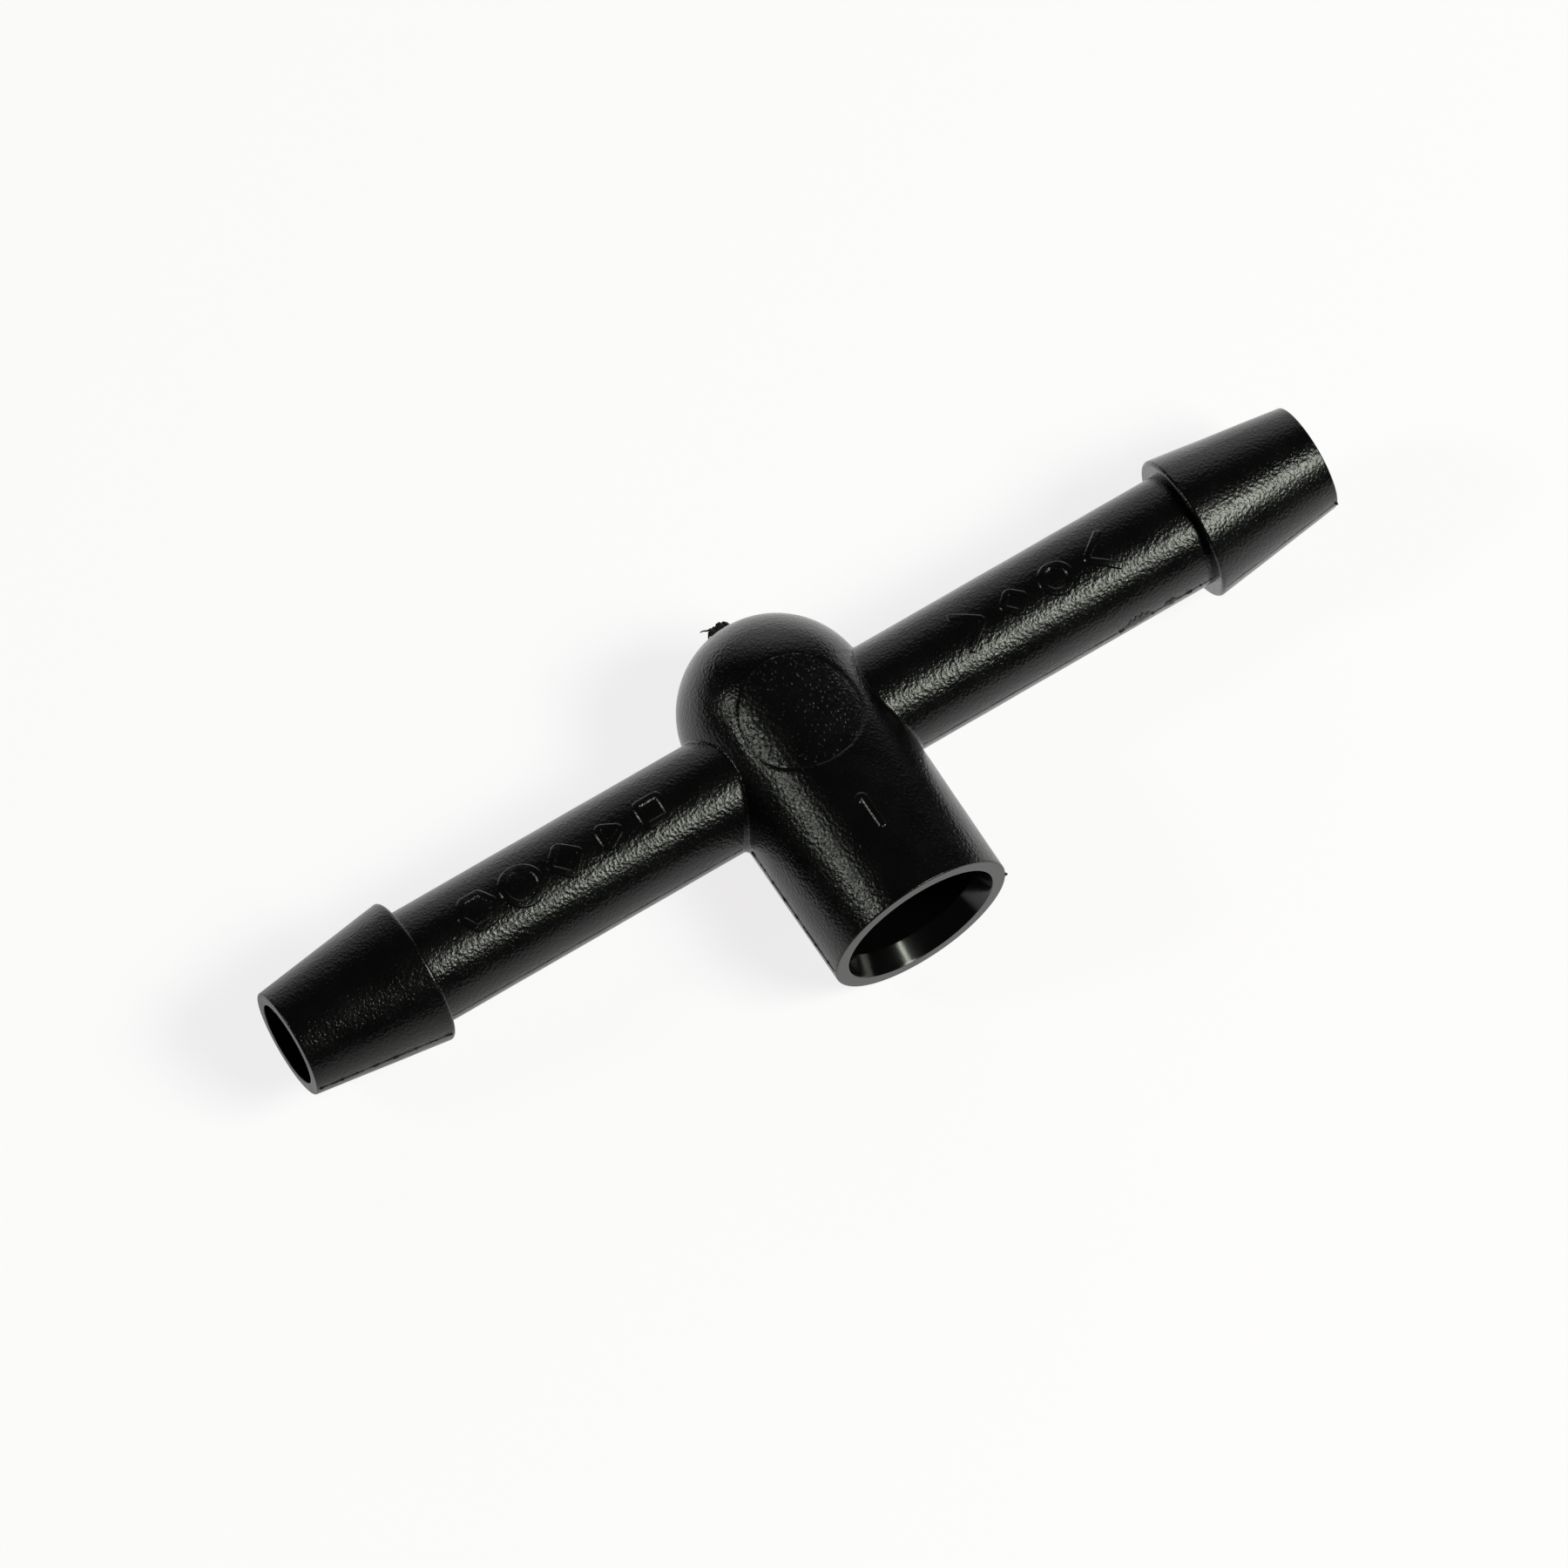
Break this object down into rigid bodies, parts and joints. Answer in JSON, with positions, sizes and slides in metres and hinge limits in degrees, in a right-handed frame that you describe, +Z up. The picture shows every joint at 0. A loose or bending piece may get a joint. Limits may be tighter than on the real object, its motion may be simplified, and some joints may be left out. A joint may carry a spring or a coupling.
{
  "type": "barbed tee connector",
  "caption": "Barbed tee for micro-irrigation hose: a straight run with a hose barb at each end and a push-in socket branching from a domed hub.",
  "frame": {"origin": "where the axis of the run crosses the axis of the socket, half way between the barb tips", "axes": "+X along the run from the left barb to the right barb, -Y out of the socket's mouth, +Z up to the side with the moulded marks"},
  "size_m": [0.046, 0.0148, 0.0077],
  "materials": {
    "textured_polymer": "fine spark-eroded moulding grain, satin black",
    "coarse_polymer": "coarser spark-eroded grain of the round mould insert, satin black",
    "raised_polymer": "moulded relief, slightly smoother than the ground, black",
    "torn_polymer": "torn and squeezed-out plastic at the gate and the mould's parting line, black"
  },
  "bodies": {
    "root": {"hub": "textured_polymer", "hub_dome": "textured_polymer", "hub_pin_mark": "coarse_polymer", "socket_sleeve": "textured_polymer", "left_stem": "textured_polymer", "right_stem": "textured_polymer", "left_barb": "textured_polymer", "right_barb": "textured_polymer", "left_stem_marks": "raised_polymer", "right_stem_marks": "raised_polymer", "cavity_number": "raised_polymer", "gate_vestige": "torn_polymer", "parting_flash": "torn_polymer"}
  },
  "joints": []
}
